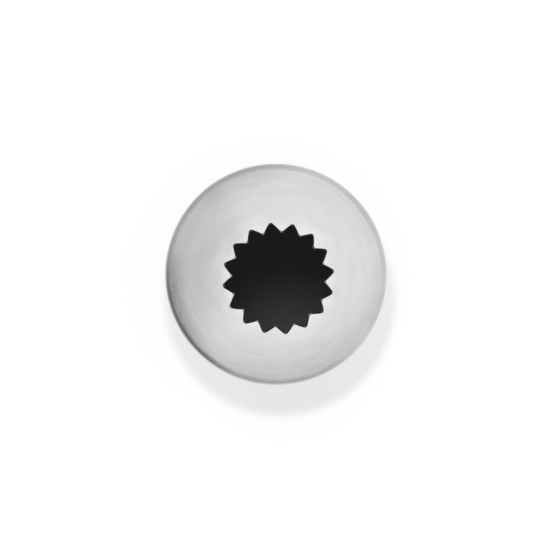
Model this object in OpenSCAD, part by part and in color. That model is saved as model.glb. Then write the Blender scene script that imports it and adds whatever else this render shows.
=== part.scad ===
// Open star piping nozzle, drawn from one piece of thin stainless steel sheet.
// It stands on its rolled rim, with the star opening at the top.
// All lengths are in millimetres and all angles in degrees.

/* [Cone] */
// Overall height, from the rim that it stands on to the tips of the teeth
nozzle_h = 50; // [44:1:60]
// Thickness of the sheet
sheet_t = 0.4; // [0.3:0.02:0.44]
// Outside diameter at the end of the straight cone, where the shoulder starts
shoulder_d = 20.2; // [18:0.2:22]
// Height of the rounded shoulder, from the end of the straight cone to the tips of the teeth
shoulder_h = 11.5; // [8:0.5:14]

/* [Rolled rim] */
// Diameter over the rolled rim
rim_d = 35; // [32:0.5:38]
// Diameter of the roll itself, seen in section
roll_d = 1; // [0.9:0.05:1.4]
// Height that is pressed off the bottom of the roll, so that the nozzle stands on a flat ring
roll_flat_h = 0.05; // [0.02:0.01:0.08]
// Gap between the free edge of the roll and the cone
roll_gap = 0.05; // [0.02:0.01:0.1]

/* [Star] */
// Number of teeth round the opening
tooth_count = 16; // [10:1:18]
// Clear diameter between the tips of opposite teeth
star_d = 13.2; // [11.6:0.2:14.4]
// Depth of a notch between two teeth, measured down from their tips
notch_h = 3.6; // [2:0.2:5]
// Width of the flat at the root of a notch
notch_root_w = 0.46; // [0.3:0.02:0.6]
// Width of the blunt end of a tooth
tooth_tip_w = 0.3; // [0.2:0.05:0.5]

/* [Hidden] */
$fn = 180;

// How far a cutting shape runs past what it cuts
overrun = 1;

// Number of straight steps that draw the roll and the shoulder in section
roll_steps = 24;
shoulder_steps = 8;

// The roll in section: the sheet lies between an outer circle and the bore of the roll
roll_r = roll_d / 2;
roll_bore_r = roll_r - sheet_t;
roll_at = [rim_d / 2 - roll_r, roll_r - roll_flat_h];

// The outside of the cone touches the bore of the roll at one end and meets the shoulder at the other
foot_out = [shoulder_d / 2, nozzle_h - shoulder_h];
roll_to_foot = foot_out - roll_at;
cone_lean = atan(-roll_to_foot[0] / roll_to_foot[1]) - asin(roll_bore_r / norm(roll_to_foot));
across = [cos(cone_lean), sin(cone_lean)];
foot_in = foot_out - sheet_t * across;

// The shoulder is an arc that leaves the cone at its foot, tangent to it, and ends at the tips
tip_in = [star_d / 2, nozzle_h];
foot_to_tip = tip_in - foot_in;
chord_lean = atan(-foot_to_tip[0] / foot_to_tip[1]);
shoulder_in_r = norm(foot_to_tip) / (2 * sin(chord_lean - cone_lean));
shoulder_out_r = shoulder_in_r + sheet_t;
shoulder_at = foot_in - shoulder_in_r * across;
tip_rise = nozzle_h - shoulder_at[1];
tip_out_r = shoulder_at[0] + sqrt(pow(shoulder_out_r, 2) - pow(tip_rise, 2));

// Angles round the roll: where the cone runs into it, either side of the flat, and at its free edge,
// whose outer corner is roll_gap from the cone
roll_from = 180 + cone_lean;
flat_half_angle = acos((roll_r - roll_flat_h) / roll_r);
roll_to = roll_from + 360 - acos((roll_bore_r - roll_gap) / roll_r);

// Half the width of a notch at the tips of the teeth
notch_half_w = tip_out_r * sin(180 / tooth_count - asin(tooth_tip_w / 2 / tip_out_r));

// Points along an arc, from one angle to another
function arc(at, r, from, to, steps) =
    [for (i = [0 : steps]) at + r * [cos(from + (to - from) * i / steps), sin(from + (to - from) * i / steps)]];

// Section of the whole sheet: down the inside, round the roll to its free edge, back along the bore of
// the roll, and up the outside
module sheet_section() {
    polygon(concat(
        arc(shoulder_at, shoulder_in_r, asin(tip_rise / shoulder_in_r), cone_lean, shoulder_steps),
        arc(roll_at, roll_r, roll_from, 270 - flat_half_angle, roll_steps / 4),
        arc(roll_at, roll_r, 270 + flat_half_angle, roll_to, roll_steps),
        arc(roll_at, roll_bore_r, roll_to, roll_from, roll_steps),
        arc(shoulder_at, shoulder_out_r, cone_lean, asin(tip_rise / shoulder_out_r), shoulder_steps)
    ));
}

// One notch, as a tapered prism that points away from the axis along X
module notch() {
    root_half_w = notch_root_w / 2;
    cut_h = notch_h + overrun;
    cut_half_w = root_half_w + (notch_half_w - root_half_w) * cut_h / notch_h;
    cut_from = star_d / 4;
    cut_to = shoulder_d / 2 + overrun;
    translate([cut_from, 0, nozzle_h - notch_h])
        rotate([90, 0, 90])
            linear_extrude(height = cut_to - cut_from)
                polygon([
                    [-root_half_w, 0],
                    [root_half_w, 0],
                    [cut_half_w, cut_h],
                    [-cut_half_w, cut_h]
                ]);
}

module nozzle_shell() {
    color("silver")
        difference() {
            rotate_extrude()
                sheet_section();
            for (i = [0 : tooth_count - 1])
                rotate([0, 0, i * 360 / tooth_count])
                    notch();
        }
}

nozzle_shell();
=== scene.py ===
"""Open star piping nozzle, drawn from one sheet of stainless steel, seen from above its star.

The sheet is made by a Geometry Nodes tree that draws one tooth's share of the nozzle, from the free edge
of the rolled rim up to the tooth's outline, and repeats it round the axis.
"""
import math

import bpy
from mathutils import Matrix, Vector


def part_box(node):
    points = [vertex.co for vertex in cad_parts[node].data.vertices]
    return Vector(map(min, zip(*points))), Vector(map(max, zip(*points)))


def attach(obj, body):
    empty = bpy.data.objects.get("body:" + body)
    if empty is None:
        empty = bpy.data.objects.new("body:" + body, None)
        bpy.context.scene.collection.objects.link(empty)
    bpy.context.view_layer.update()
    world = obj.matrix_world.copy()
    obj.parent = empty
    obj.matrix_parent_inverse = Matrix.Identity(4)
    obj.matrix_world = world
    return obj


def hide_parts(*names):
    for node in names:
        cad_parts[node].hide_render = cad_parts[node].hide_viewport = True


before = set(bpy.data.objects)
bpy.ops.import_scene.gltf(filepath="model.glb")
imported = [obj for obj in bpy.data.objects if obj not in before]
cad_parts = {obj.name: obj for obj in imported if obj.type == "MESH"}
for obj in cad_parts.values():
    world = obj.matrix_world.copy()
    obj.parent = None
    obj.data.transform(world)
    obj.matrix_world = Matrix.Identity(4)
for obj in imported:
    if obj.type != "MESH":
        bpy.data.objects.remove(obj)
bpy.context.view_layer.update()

MM = 0.001

# Sizes of the nozzle, in metres. The height and the rim's diameter come from the frame.
node_lo, node_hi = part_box("nozzle_shell")
NOZZLE_H = node_hi.z - node_lo.z
RIM_D = node_hi.x - node_lo.x
RIM_R = RIM_D / 2
SHEET_T = 0.4 * MM
SHOULDER_D = 20.2 * MM
SHOULDER_H = 11.5 * MM
ROLL_D = 1.0 * MM
ROLL_FLAT_H = 0.05 * MM
TOOTH_COUNT = 16
STAR_D = 13.2 * MM
NOTCH_H = 3.6 * MM
NOTCH_ROOT_W = 0.46 * MM
TOOTH_TIP_W = 0.3 * MM

# The roll's free edge: its gap to the cone, its slope up to it, and how far it is drawn up at its very
# end, over a share of the rows. The CAD solid leaves a wider gap there, and the photograph shows none.
ROLL_GAP = 0.004 * MM
EDGE_SLOPE = math.radians(25)
EDGE_DRAWN_UP = 0.08 * MM
DRAWN_SHARE = 0.34

# The cut edges: their rounding, how far they slope back through the sheet, how much wider a tooth is cut
# for the rounding, the rounds at a notch's root and at a tooth's tip, and how much further a steep edge
# is set back
EDGE_ROUND = 0.04 * MM
CUT_SLOPE = 0.38 * MM
ROUND_ALLOWANCE = 1.4
ROOT_CORNER = 0.07 * MM
TIP_CORNER = 0.2 * MM
STEEP_SET_BACK = 0.1

# How far each tooth and notch strays from its place, and how many times as far the punch tilts in a
# notch, where the sheet leans in by about a third of its rise. The straying sets in below the notch
# roots, at these shares of a notch's depth.
HAND_WORK = 0.11 * MM
HAND_SEED = 7
PUNCH_TILT = 3
NOTCH_LEAN = 0.33
STRAY_BELOW_ROOT = 0.5
TILT_BELOW_ROOT = 0.4

# The grid of one tooth's share: its rows up each part of the sheet and over its two edges, its columns,
# and how both crowd together where the sheet turns sharply. The rows are level up to a share of a notch's
# depth below the notch roots, and bend to the outline above it.
ROLL_ROWS = 26
CONE_ROWS = 6
SHOULDER_ROWS = 10
TOOTH_ROWS = 10
SIDE_ROWS = ROLL_ROWS + CONE_ROWS + SHOULDER_ROWS + TOOTH_ROWS
CUT_ROWS = 8
FREE_ROWS = 6
ALL_ROWS = 2 * SIDE_ROWS + CUT_ROWS + FREE_ROWS
COLUMNS = 28
COLUMN_CROWDING = 0.7
ROLL_CROWDING = 1.6
LEVEL_BELOW_ROOT = 0.8
MERGE_REACH = 0.001 * MM

# The steel: its darkest and brightest colour, the range of tones between them, its roughness, the depth
# of its brushing, and what its zones add or take away: more roughness inside, less at the rim, a painted
# shade inside, a painted sheen on the teeth and painted light beside the roll
STEEL_DARK = (0.735, 0.735, 0.74, 1)
STEEL_BRIGHT = (0.931, 0.931, 0.922, 1)
TONE_RANGE = 1.4
STEEL_ROUGHNESS = 0.25
BRUSHING_DEPTH = 0.006 * MM
INSIDE_ROUGHER = 0.12
INSIDE_PAINTED_SHADE = 0.6
RUBBED_SMOOTHER = 0.05
TEETH_PAINTED_SHEEN = 0.35
CREASE_PAINTED_LIGHT = 0.9

# The paper: how white it is in the open and in its painted shade under the nozzle, how much of its light
# is its own, how far it reaches and lies below the nozzle, and the painted shade beside the nozzle
PAPER_WHITE = 0.93
FOOT_WHITE_IN_PAINTED_SHADE = 0.245
FLOOR_GLOW = 0.7
FLOOR_DROP = 0.01 * MM
FLOOR_REACH = 3.0
PAINTED_SIDE_SHADE = 0.17
SHADE_AT_RIM = 0.85
SHADE_AT = (0.7 * MM, -4.2 * MM)
SHADE_FULL_R = 17.1 * MM
SHADE_END_R = 19.3 * MM

# The painted shade that only metal sees on the paper, in its reflections: all over, close by, at the rim,
# and to three sides, which are given as turns from the picture's right
MIRROR_PAINTED_SHADE = 0.08
MIRROR_PAINTED_SHADE_CLOSE_BY = 0.07
MIRROR_PAINTED_SHADE_AT_RIM = 0.05
MIRROR_PAINTED_SHADE_LEFT = 0.2
MIRROR_PAINTED_SHADE_FOOT = 0.55
MIRROR_PAINTED_SHADE_UPPER = 0.22
LEFT_TURN = math.radians(170)
FOOT_TURN = math.radians(-165)
UPPER_TURN = math.radians(112)

# The room: its light, how bright metal sees it, and the turns to its brighter and its darker side
ROOM_LIGHT = 0.95
STUDIO_GREY = 0.45
STUDIO_BRIGHTER = 0.22
STUDIO_LOW = 0.02
STUDIO_DARKER = 0.65
BRIGHT_TURN = math.radians(14)
DARK_TURN = math.radians(-152)
LAMP_POWER = 2.6
LAMP_D = 0.3
LAMP_AT = (-0.05, 0.27, 1.0)

# The photograph's view: nearly straight down, with one notch turned a little from the picture's right
NOTCH_TURN = math.radians(7.6)
TO_RIGHT = Vector((math.cos(NOTCH_TURN), -math.sin(NOTCH_TURN), 0))
TO_TOP = Vector((math.sin(NOTCH_TURN), math.cos(NOTCH_TURN), 0))
EYE_AT = (-4.45 * MM, 8.07 * MM, 600 * MM)
LOOKED_AT = (0.64 * MM, -0.91 * MM, 0)
SENSOR_W = 36
LENS = 243.4


class Wire:
    """One output of a node, with the sums that Math nodes do on it."""

    def __init__(self, graph, socket):
        self.graph = graph
        self.socket = socket

    def math(self, operation, *others):
        return self.graph.node("ShaderNodeMath", {"operation": operation}, [self, *others])

    def reflected(self, operation, other):
        return self.graph.node("ShaderNodeMath", {"operation": operation}, [other, self])

    def __add__(self, other):
        return self.math("ADD", other)

    __radd__ = __add__

    def __sub__(self, other):
        return self.math("SUBTRACT", other)

    def __rsub__(self, other):
        return self.reflected("SUBTRACT", other)

    def __mul__(self, other):
        return self.math("MULTIPLY", other)

    __rmul__ = __mul__

    def __truediv__(self, other):
        return self.math("DIVIDE", other)

    def __rtruediv__(self, other):
        return self.reflected("DIVIDE", other)

    def __pow__(self, other):
        return self.math("POWER", other)

    def __neg__(self):
        return self * -1

    def __abs__(self):
        return self.math("ABSOLUTE")

    def sin(self):
        return self.math("SINE")

    def cos(self):
        return self.math("COSINE")

    def asin(self):
        return self.math("ARCSINE")

    def atan(self):
        return self.math("ARCTANGENT")

    def sqrt(self):
        return self.math("SQRT")

    def clamp(self):
        return self.math("MAXIMUM", 0).math("MINIMUM", 1)

    def smooth_max(self, other, reach):
        return self.math("SMOOTH_MAX", other, reach)

    def smooth_min(self, other, reach):
        return self.math("SMOOTH_MIN", other, reach)

    def ramp(self, start, end):
        """0 up to start and 1 from end on, with a smooth step between them."""
        settings = {"interpolation_type": "SMOOTHSTEP"}
        inputs = {"Value": self, "From Min": start, "From Max": end}
        return self.graph.node("ShaderNodeMapRange", settings, inputs)


class Graph:
    """A node tree. Its one method adds a node and gives back the wire of one of its outputs."""

    def __init__(self, tree):
        self.tree = tree

    def node(self, kind, settings=None, inputs=(), output=0):
        made = self.tree.nodes.new(kind)
        for name, value in (settings or {}).items():
            setattr(made, name, value)
        live = [socket for socket in made.inputs if socket.enabled]
        named = inputs.items() if isinstance(inputs, dict) else enumerate(inputs)
        for key, value in named:
            socket = live[key] if isinstance(key, int) else next(s for s in live if s.name == key)
            if isinstance(value, Wire):
                self.tree.links.new(value.socket, socket)
            else:
                socket.default_value = value
        outputs = [socket for socket in made.outputs if socket.enabled]
        if isinstance(output, str):
            return Wire(self, next(s for s in outputs if s.name == output))
        return Wire(self, outputs[output]) if outputs else made


def axes(g, place, names):
    """Those coordinates of a place that are named."""
    return [g.node("ShaderNodeSeparateXYZ", inputs=[place], output=name) for name in names]


def point(g, x, y, z):
    """A place or a direction with these coordinates."""
    return g.node("ShaderNodeCombineXYZ", inputs=[x, y, z])


def dot(g, one, other):
    """The dot product of two directions."""
    return g.node("ShaderNodeVectorMath", {"operation": "DOT_PRODUCT"}, [one, other], output="Value")


def in_view(right, top, up=0):
    """A point given along the picture's right and top and up from the floor."""
    return TO_RIGHT * right + TO_TOP * top + Vector((0, 0, up))


def side_of_view(turn):
    """The level direction at a turn from the picture's right."""
    return in_view(math.cos(turn), math.sin(turn))


def aim(item, target, top):
    """Turns a camera or lamp to look at a target, with a direction that points up in its view."""
    back = (item.location - target).normalized()
    right = top.cross(back).normalized()
    up = back.cross(right)
    item.rotation_euler = Matrix((right, up, back)).transposed().to_euler()


def placed(name, data):
    """A new object in the scene."""
    item = bpy.data.objects.new(name, data)
    bpy.context.collection.objects.link(item)
    return item


class Section:
    """The sheet in section, as in a drawing: a roll, a straight cone and a shoulder, without a corner."""

    def __init__(self, take):
        self.height = take["Height"]
        self.sheet = take["Sheet Thickness"]
        self.depth = take["Notch Depth"]
        self.root_z = self.height - self.depth
        self.half_pitch = math.pi / take["Teeth"]

        # The outside of the straight cone is tangent to the roll's bore
        self.roll_r = take["Roll Diameter"] / 2
        bore_r = self.roll_r - self.sheet
        self.roll_x = take["Rim Diameter"] / 2 - self.roll_r
        self.roll_z = self.roll_r - take["Roll Flat"]
        self.foot_x = take["Shoulder Diameter"] / 2
        self.foot_z = self.height - take["Shoulder Height"]
        inward = self.roll_x - self.foot_x
        upward = self.foot_z - self.roll_z
        to_foot = (inward * inward + upward * upward).sqrt()
        self.lean = (inward / upward).atan() - (bore_r / to_foot).asin()
        self.lean_cos = self.lean.cos()
        self.lean_sin = self.lean.sin()
        self.roll_from = self.lean + math.pi
        short_of_cone = ((bore_r - take["Roll Gap"]) / self.roll_r).math("ARCCOSINE")
        self.roll_to = self.roll_from + 2 * math.pi - short_of_cone

        # The shoulder is an arc that leaves the cone at its foot and ends at the tips
        foot_in_x = self.foot_x - self.sheet * self.lean_cos
        foot_in_z = self.foot_z - self.sheet * self.lean_sin
        chord_x = foot_in_x - take["Star Diameter"] / 2
        chord_z = self.height - foot_in_z
        chord = (chord_x * chord_x + chord_z * chord_z).sqrt()
        self.shoulder_in_r = chord / (((chord_x / chord_z).atan() - self.lean).sin() * 2)
        self.shoulder_out_r = self.shoulder_in_r + self.sheet
        self.shoulder_x = foot_in_x - self.shoulder_in_r * self.lean_cos
        self.shoulder_z = foot_in_z - self.shoulder_in_r * self.lean_sin

    def shoulder_radius(self, level):
        """How far from the axis the shoulder's outside is at a level."""
        rise = level - self.shoulder_z
        return self.shoulder_x + (self.shoulder_out_r * self.shoulder_out_r - rise * rise).sqrt()


def squarish(wave):
    """A sine or cosine pushed out towards 1 and -1, which rounds an edge as a blunt corner."""
    return abs(wave) ** (2 / 3) * wave.math("SIGN")


def cut_level(take, section, from_notch, over_cut):
    """Level of the cut edge, at an angle from a notch's middle and at a point over the edge."""
    # A notch's outline on the outside: a flat root, straight flanks and a blunt tip, with rounds between
    depth = section.depth
    rounding = take["Edge Rounding"]
    tip_r = section.shoulder_radius(section.height)
    root_r = section.shoulder_radius(section.root_z)
    root_half_w = take["Notch Root Width"] / 2
    tip_half_w = tip_r * (section.half_pitch - (take["Tooth Tip Width"] / 2 / tip_r).asin()).sin()
    widening = (tip_half_w - root_half_w) / depth
    closing = (tip_r - root_r) / depth
    turn = from_notch.sin()
    past_root = root_r * turn + rounding * ROUND_ALLOWANCE - root_half_w
    flank = past_root / (widening - closing * turn)
    outline = flank.smooth_max(0.0, ROOT_CORNER).smooth_min(depth, TIP_CORNER)

    # The edge is set back square to the outline, so a little further down the sheet where that is steep
    steepness = (1 / (widening * widening) + 1).sqrt()
    gone = outline / depth
    on_flank = gone.ramp(0.0, 0.06) * (1 - gone.ramp(0.85, 1.0))
    rounded = rounding * (1 - squarish(over_cut.sin()))
    sloped = take["Cut Slope"] / 2 * (1 - squarish(over_cut.cos()))
    further = 1 + (steepness - 1) * STEEP_SET_BACK * on_flank
    return section.root_z + outline - (rounded + sloped) * further


def tooth_share(g, take, section):
    """One tooth's share of the closed sheet.

    It is a grid. Across, it runs over the pitch of the teeth. Up, its rows go round the sheet: up the
    outside from the roll's free edge, over the cut edge, down the inside and back over the free edge.
    """
    grid = g.node(
        "GeometryNodeMeshGrid",
        inputs={"Size X": 1.0, "Size Y": 1.0, "Vertices X": COLUMNS + 1, "Vertices Y": ALL_ROWS + 1},
    )
    grid_x, grid_y = axes(g, g.node("GeometryNodeInputPosition"), "XY")

    # Rows: how far each has gone along the sheet's parts, and over its two edges
    row = ((grid_y + 0.5) * ALL_ROWS).math("ROUND")
    over_cut = ((row - SIDE_ROWS) / CUT_ROWS).clamp() * math.pi
    over_free = ((row - (2 * SIDE_ROWS + CUT_ROWS)) / FREE_ROWS).clamp() * math.pi
    gone_up = row.math("MINIMUM", SIDE_ROWS)
    gone_down = (row - (SIDE_ROWS + CUT_ROWS)).math("MAXIMUM", 0).math("MINIMUM", SIDE_ROWS)
    along = gone_up - gone_down
    part_roll = (along / ROLL_ROWS).clamp()
    part_cone = ((along - ROLL_ROWS) / CONE_ROWS).clamp()
    part_shoulder = ((along - (ROLL_ROWS + CONE_ROWS)) / SHOULDER_ROWS).clamp()
    left_tooth = 1 - ((along - (ROLL_ROWS + CONE_ROWS + SHOULDER_ROWS)) / TOOTH_ROWS).clamp()
    part_tooth = 1 - left_tooth * left_tooth

    # Columns crowd together at the notch root and at the tooth's tip, where the outline turns
    across = grid_x * 2
    out = abs(across)
    spread = out - (out * (2 * math.pi)).sin() * (COLUMN_CROWDING / (2 * math.pi))
    half_pitch = section.half_pitch
    azimuth = half_pitch + half_pitch * spread * across.math("SIGN")
    cut_z = cut_level(take, section, half_pitch * (1 - spread), over_cut)

    # How far off the sheet's middle: half its thickness on the outside, and as much the other way inside
    half_sheet = section.sheet / 2
    off_middle = half_sheet * (squarish(over_cut.cos()) + 1 - squarish(over_free.cos()))

    # Angles round the roll and the shoulder
    roll_mid_r = section.roll_r - half_sheet
    roll_angle = section.roll_to + (section.roll_from - section.roll_to) * part_roll ** ROLL_CROWDING
    arc_r = section.shoulder_in_r + half_sheet + off_middle
    level_z = section.root_z - section.depth * LEVEL_BELOW_ROOT
    level_angle = ((level_z - section.shoulder_z) / arc_r).asin()
    edge_angle = ((cut_z - section.shoulder_z) / arc_r).asin()
    arc_angle = section.lean + (level_angle - section.lean) * part_shoulder
    arc_angle = arc_angle + (edge_angle - level_angle) * part_tooth

    # Along the roll, then the straight cone, then the shoulder
    foot_mid_x = section.foot_x - half_sheet * section.lean_cos
    foot_mid_z = section.foot_z - half_sheet * section.lean_sin
    cone_x = foot_mid_x - (section.roll_x - roll_mid_r * section.lean_cos)
    cone_z = foot_mid_z - (section.roll_z - roll_mid_r * section.lean_sin)
    radius = (
        section.roll_x + (roll_mid_r - off_middle) * roll_angle.cos()
        + cone_x * part_cone
        + arc_r * (arc_angle.cos() - section.lean_cos)
    )
    level = (
        section.roll_z + (roll_mid_r - off_middle) * roll_angle.sin()
        + cone_z * part_cone
        + arc_r * (arc_angle.sin() - section.lean_sin)
    )

    # From near its top on, the roll runs straight up to the cone. Its free edge is drawn up along the
    # cone and pressed to it, so that no gap is left to see.
    slope = take["Edge Slope"]
    straight = (roll_angle - (2.5 * math.pi - slope)).math("MAXIMUM", 0)
    drawn_up = section.roll_r * (1 - straight.cos()) / slope.cos()
    drawn_up = drawn_up + (1 - part_roll / DRAWN_SHARE).clamp() ** 4 * take["Edge Drawn Up"]
    radius = radius - drawn_up * section.lean_sin / section.lean_cos

    # The roll is pressed flat where the nozzle stands on it
    level = (level + drawn_up).math("MAXIMUM", 0)
    place = point(g, radius * azimuth.cos(), radius * azimuth.sin(), level)
    return g.node("GeometryNodeSetPosition", inputs={"Geometry": grid, "Position": place})


def round_axis(g, take, section, share):
    """The share, set round the axis once for each tooth and joined."""
    points = g.node("GeometryNodeMeshLine", inputs={"Count": take["Teeth"], "Offset": (0, 0, 0)})
    turn = g.node("GeometryNodeInputIndex") * section.half_pitch * 2
    shares = g.node(
        "GeometryNodeInstanceOnPoints",
        inputs={"Points": points, "Instance": share, "Rotation": point(g, 0.0, 0.0, turn)},
    )
    whole = g.node("GeometryNodeRealizeInstances", inputs=[shares])
    return g.node("GeometryNodeMergeByDistance", inputs={"Geometry": whole, "Distance": MERGE_REACH})


def hand_worked(g, take, section, sheet):
    """The sheet with its notches cut one by one, so that no two teeth stand quite alike."""
    x, y, z = axes(g, g.node("GeometryNodeInputPosition"), "XYZ")
    around = y.math("ARCTAN2", x)
    pitches = around / (section.half_pitch * 2)
    notch = pitches.math("ROUND")
    notch_number = notch.math("WRAP", take["Teeth"], 0.0)
    tooth_number = (pitches - 0.5).math("ROUND").math("WRAP", take["Teeth"], 0.0)

    def drawn(number, salt):
        """A random number from -1 to 1 for each notch or tooth."""
        limits = {"Min": -1.0, "Max": 1.0, "ID": number, "Seed": take["Seed"] + salt}
        return g.node("FunctionNodeRandomValue", {"data_type": "FLOAT"}, limits)

    stray = take["Hand Work"]
    root_z = section.root_z
    free = z.ramp(root_z - section.depth * STRAY_BELOW_ROOT, section.height)
    near_tooth = abs(pitches - notch) * 2
    sideways = stray * free * (1 - near_tooth) * drawn(notch_number, 0)
    leaned = stray * free * near_tooth * drawn(tooth_number, 1)
    # The punch stands a little askew in each notch, so the corners of its root aren't level
    askew = (pitches * (2 * math.pi)).sin() * z.ramp(root_z - section.depth * TILT_BELOW_ROOT, root_z)
    raised = stray * PUNCH_TILT * (askew * (1 - free)) * drawn(notch_number, 2)
    leaned = leaned - raised * NOTCH_LEAN
    shift_x = leaned * around.cos() - sideways * around.sin()
    shift_y = leaned * around.sin() + sideways * around.cos()
    shift = point(g, shift_x, shift_y, raised)
    return g.node("GeometryNodeSetPosition", inputs={"Geometry": sheet, "Offset": shift})


def sheet_tree():
    """The tree that draws the closed skin of the sheet, and the values of its inputs."""
    tree = bpy.data.node_groups.new("nozzle_sheet", "GeometryNodeTree")
    face = tree.interface
    face.new_socket("Geometry", in_out="OUTPUT", socket_type="NodeSocketGeometry")
    sizes = {
        "Height": NOZZLE_H,
        "Rim Diameter": RIM_D,
        "Sheet Thickness": SHEET_T,
        "Shoulder Diameter": SHOULDER_D,
        "Shoulder Height": SHOULDER_H,
        "Roll Diameter": ROLL_D,
        "Roll Flat": ROLL_FLAT_H,
        "Roll Gap": ROLL_GAP,
        "Edge Drawn Up": EDGE_DRAWN_UP,
        "Edge Slope": EDGE_SLOPE,
        "Star Diameter": STAR_D,
        "Notch Depth": NOTCH_H,
        "Notch Root Width": NOTCH_ROOT_W,
        "Tooth Tip Width": TOOTH_TIP_W,
        "Edge Rounding": EDGE_ROUND,
        "Cut Slope": CUT_SLOPE,
        "Hand Work": HAND_WORK,
    }
    counts = {"Teeth": TOOTH_COUNT, "Seed": HAND_SEED}
    for name in sizes:
        face.new_socket(name, in_out="INPUT", socket_type="NodeSocketFloat")
    for name in counts:
        face.new_socket(name, in_out="INPUT", socket_type="NodeSocketInt")
    face.new_socket("Material", in_out="INPUT", socket_type="NodeSocketMaterial")

    g = Graph(tree)
    given = tree.nodes.new("NodeGroupInput")
    take = {socket.name: Wire(g, socket) for socket in given.outputs if socket.name}
    section = Section(take)
    share = tooth_share(g, take, section)
    worked = hand_worked(g, take, section, round_axis(g, take, section, share))
    smooth = g.node("GeometryNodeSetShadeSmooth", inputs={"Geometry": worked, "Shade Smooth": True})
    realized = g.node("GeometryNodeRealizeInstances", inputs=[smooth])
    steel = take["Material"]
    dressed = g.node("GeometryNodeSetMaterial", inputs={"Geometry": realized, "Material": steel})
    made_out = tree.nodes.new("NodeGroupOutput")
    tree.links.new(dressed.socket, made_out.inputs[0])
    return tree, {**sizes, **counts}


def nozzle_piece(material):
    """The nozzle: the tree's own mesh, taken from the modifier as a plain one."""
    tree, values = sheet_tree()
    seed = placed("nozzle_seed", bpy.data.meshes.new("nozzle_seed"))
    maker = seed.modifiers.new("sheet", "NODES")
    maker.node_group = tree
    values["Material"] = material
    for item in tree.interface.items_tree:
        if item.in_out == "INPUT" and item.name in values:
            maker[item.identifier] = values[item.name]
    skin = bpy.data.meshes.new_from_object(seed.evaluated_get(bpy.context.evaluated_depsgraph_get()))
    bpy.data.objects.remove(seed)
    skin.name = "nozzle"
    return placed("nozzle", skin)


def new_material(name):
    """A new material, and the graph of its empty node tree."""
    material = bpy.data.materials.new(name)
    material.use_nodes = True
    material.node_tree.nodes.clear()
    return material, Graph(material.node_tree)


def in_mirror(g):
    """1 for what metal reflects, and 0 for the rest."""
    return g.node("ShaderNodeLightPath", output="Is Glossy Ray")


def shown_only(g):
    """1 for what is seen, straight or in a reflection, and 0 for the light that falls on things."""
    seen = g.node("ShaderNodeLightPath", output="Is Camera Ray")
    passed = g.node("ShaderNodeLightPath", output="Is Transmission Ray")
    return (seen + in_mirror(g) + passed).clamp()


def satin_steel():
    """Stainless steel, satin polished in fine rings round the cone, rougher inside and darker there with
    painted shade, with a painted sheen on the teeth and painted light beside the roll.
    """
    material, g = new_material("satin_steel")
    x, y, z = axes(g, g.node("ShaderNodeTexCoord", output="Object"), "XYZ")
    out = (x * x + y * y).sqrt()

    def noise(place, detail):
        return g.node("ShaderNodeTexNoise", inputs={"Vector": place, "Scale": 1.0, "Detail": detail})

    def rings(streaks, per_mm, detail):
        """Noise drawn out round the axis, by its streaks round it and its lines for each millimetre."""
        return noise(point(g, x / out * streaks, y / out * streaks, z / MM * per_mm), detail)

    fine = rings(2.0, 4.0, 2.0)
    coarse = rings(1.5, 1.2, 2.0)
    bands = rings(1.8, 0.16, 1.0)
    # Clouds in the finish, drawn out along the cone
    cloud = noise(point(g, x / MM * 0.3, y / MM * 0.3, z / MM * 0.14), 2.0)

    # The inner side faces the axis. It is rougher, and darker with painted shade
    facing = g.node("ShaderNodeNewGeometry", output="Normal")
    faces_out = dot(g, facing, point(g, x / out, y / out, 0.0))
    inside = (-faces_out).ramp(0.3, 0.6) * z.ramp(1.2 * MM, 1.6 * MM)
    # The rim is rubbed smoother where the nozzle is stood and slid about
    rubbed = out.ramp(RIM_R - 0.3 * MM, RIM_R)
    # A painted sheen makes the teeth lighter
    teeth_painted_sheen = z.ramp(NOZZLE_H - 4.5 * MM, NOZZLE_H - 1.5 * MM)
    # Painted light makes the metal lighter low down, inward of the roll, lifting the shade in the crease
    # there
    beside_roll = 1 - out.ramp(RIM_R - 0.74 * MM, RIM_R - 0.66 * MM)
    crease_painted_light = beside_roll * (1 - z.ramp(2.6 * MM, 4.6 * MM))

    # Each noise has its share in the roughness and in the tone
    uneven = (cloud - 0.5) * 0.12 + (bands - 0.5) * 0.06 + (coarse - 0.5) * 0.05 + (fine - 0.5) * 0.06
    rough = STEEL_ROUGHNESS + uneven + inside * INSIDE_ROUGHER - rubbed * RUBBED_SMOOTHER
    tone = 0.5 + (cloud - 0.5) * 1.5 + (bands - 0.5) * 0.8 + (fine - 0.5) * 0.5
    tone = tone + teeth_painted_sheen * TEETH_PAINTED_SHEEN + crease_painted_light * CREASE_PAINTED_LIGHT - inside * INSIDE_PAINTED_SHADE
    colour = g.node(
        "ShaderNodeMix",
        {"data_type": "RGBA"},
        {"Factor": (tone / TONE_RANGE).clamp(), "A": STEEL_DARK, "B": STEEL_BRIGHT},
    )
    brushing = {"Strength": 1.0, "Distance": BRUSHING_DEPTH, "Height": fine * 0.6 + coarse * 0.4}
    normal = g.node("ShaderNodeBump", inputs=brushing)
    steel = g.node(
        "ShaderNodeBsdfPrincipled",
        inputs={"Base Color": colour, "Metallic": 1.0, "Roughness": rough, "Normal": normal},
    )
    g.node("ShaderNodeOutputMaterial", inputs={"Surface": steel})
    return material


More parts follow.
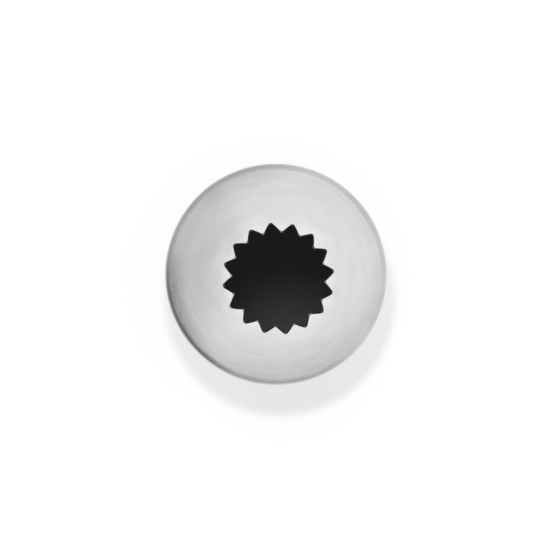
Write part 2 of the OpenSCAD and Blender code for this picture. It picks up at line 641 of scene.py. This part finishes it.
def floor_material():
    """White paper, with painted shade under the nozzle and beside it, and more painted shade that only
    metal sees.
    """
    material, g = new_material("white_paper")
    x, y = axes(g, g.node("ShaderNodeTexCoord", output="Object"), "XY")
    out = (x * x + y * y).sqrt()
    # The painted shade under the nozzle ends where its roll stands on the paper
    outside = out.ramp(RIM_R - 0.6 * MM, RIM_R - 0.2 * MM)

    # Painted soft shade beside the nozzle, a little below it in the picture and weaker near the rim
    shade_at = in_view(*SHADE_AT)
    off_x = x - shade_at.x
    off_y = y - shade_at.y
    in_shade = 1 - (off_x * off_x + off_y * off_y).sqrt().ramp(SHADE_FULL_R, SHADE_END_R)
    full = SHADE_AT_RIM + out.ramp(RIM_R, 21 * MM) * (1 - SHADE_AT_RIM)
    shaded = 1 - in_shade * PAINTED_SIDE_SHADE * full

    def toward(turn):
        """1 on one side of the nozzle, given as a turn from the picture's right, and -1 on the other."""
        side = side_of_view(turn)
        return (x * side.x + y * side.y) / out

    def near(reach):
        """1 at the rim, and fading outwards."""
        return ((RIM_R - out) / reach).math("EXPONENT")

    # Painted shade that only metal sees on the paper: a little all round, and more to three sides
    close_by = 1 - out.ramp(24 * MM, 50 * MM)
    mirror_painted_shade = MIRROR_PAINTED_SHADE + MIRROR_PAINTED_SHADE_CLOSE_BY * close_by + MIRROR_PAINTED_SHADE_AT_RIM * near(3 * MM)
    mirror_painted_shade = mirror_painted_shade + MIRROR_PAINTED_SHADE_LEFT * toward(LEFT_TURN).ramp(0.5, 1.0) * close_by
    mirror_painted_shade = mirror_painted_shade + MIRROR_PAINTED_SHADE_FOOT * toward(FOOT_TURN).ramp(0.8, 1.0) * near(0.9 * MM)
    mirror_painted_shade = mirror_painted_shade + MIRROR_PAINTED_SHADE_UPPER * toward(UPPER_TURN).ramp(0.85, 1.0) * near(2.5 * MM)
    kept = (1 - in_mirror(g) * mirror_painted_shade) * shaded
    # Under the nozzle the paper is darker, a painted shade
    lit = (FOOT_WHITE_IN_PAINTED_SHADE + outside * (PAPER_WHITE - FOOT_WHITE_IN_PAINTED_SHADE)) * kept
    paper_colour = g.node("ShaderNodeCombineColor", inputs=[lit, lit, lit])
    paper = g.node("ShaderNodeBsdfDiffuse", inputs={"Color": paper_colour})
    glow = g.node("ShaderNodeEmission", inputs={"Color": (1, 1, 1, 1), "Strength": kept})
    shown = shown_only(g) * outside * FLOOR_GLOW
    surface = g.node("ShaderNodeMixShader", inputs=[shown, paper, glow])
    g.node("ShaderNodeOutputMaterial", inputs={"Surface": surface})
    return material


def stage():
    """The white floor that the nozzle stands on."""
    corners = [(-1, -1), (1, -1), (1, 1), (-1, 1)]
    places = [(x * FLOOR_REACH, y * FLOOR_REACH, -FLOOR_DROP) for x, y in corners]
    sheet = bpy.data.meshes.new("floor")
    sheet.from_pydata(places, [], [(0, 1, 2, 3)])
    sheet.materials.append(floor_material())
    floor = placed("floor", sheet)


def camera():
    """The photograph's camera."""
    lens = bpy.data.cameras.new("camera")
    lens.sensor_width = SENSOR_W
    lens.lens = LENS
    eye = placed("camera", lens)
    eye.location = in_view(*EYE_AT)
    aim(eye, in_view(*LOOKED_AT), TO_TOP)
    bpy.context.scene.camera = eye


def room():
    """A white room. Metal sees it grey, brighter at the picture's right and darker at its lower left."""
    world = bpy.data.worlds.new("room")
    bpy.context.scene.world = world
    world.use_nodes = True
    world.node_tree.nodes.clear()
    g = Graph(world.node_tree)
    way = g.node("ShaderNodeTexCoord", output="Generated")
    up = axes(g, way, "Z")[0]
    # A ray's level share, kept just off 0 so that it can be divided by
    sideways = (1.001 - up * up).sqrt()

    def toward(turn):
        """How far a ray points to one side of the room, given as a turn from the picture's right."""
        return dot(g, way, side_of_view(turn)) / sideways

    dark = toward(DARK_TURN).ramp(0.72, 0.98) * sideways.ramp(0.05, 0.3)
    bright = toward(BRIGHT_TURN).ramp(0.1, 0.5) * sideways.ramp(0.0, 0.25)
    low = sideways.ramp(0.7, 0.95)
    studio = (STUDIO_GREY + STUDIO_BRIGHTER * bright + STUDIO_LOW * low) * (1 - dark * STUDIO_DARKER)
    shown = 1 + in_mirror(g) * (studio - 1)
    strength = ROOM_LIGHT + shown_only(g) * (shown - ROOM_LIGHT)
    light = g.node("ShaderNodeBackground", inputs={"Color": (1, 1, 1, 1), "Strength": strength})
    g.node("ShaderNodeOutputWorld", inputs={"Surface": light})


def overhead_lamp():
    """A soft lamp above the picture's top edge."""
    soft = bpy.data.lights.new("overhead", "AREA")
    soft.shape = "DISK"
    soft.size = LAMP_D
    soft.energy = LAMP_POWER
    lamp = placed("overhead", soft)
    lamp.location = in_view(*LAMP_AT)
    aim(lamp, Vector((0, 0, 0)), TO_TOP)
    lamp.visible_glossy = False


bpy.context.scene.view_settings.view_transform = "Standard"
nozzle = nozzle_piece(satin_steel())
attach(nozzle, "root")
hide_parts("nozzle_shell")
stage()
camera()
room()
overhead_lamp()
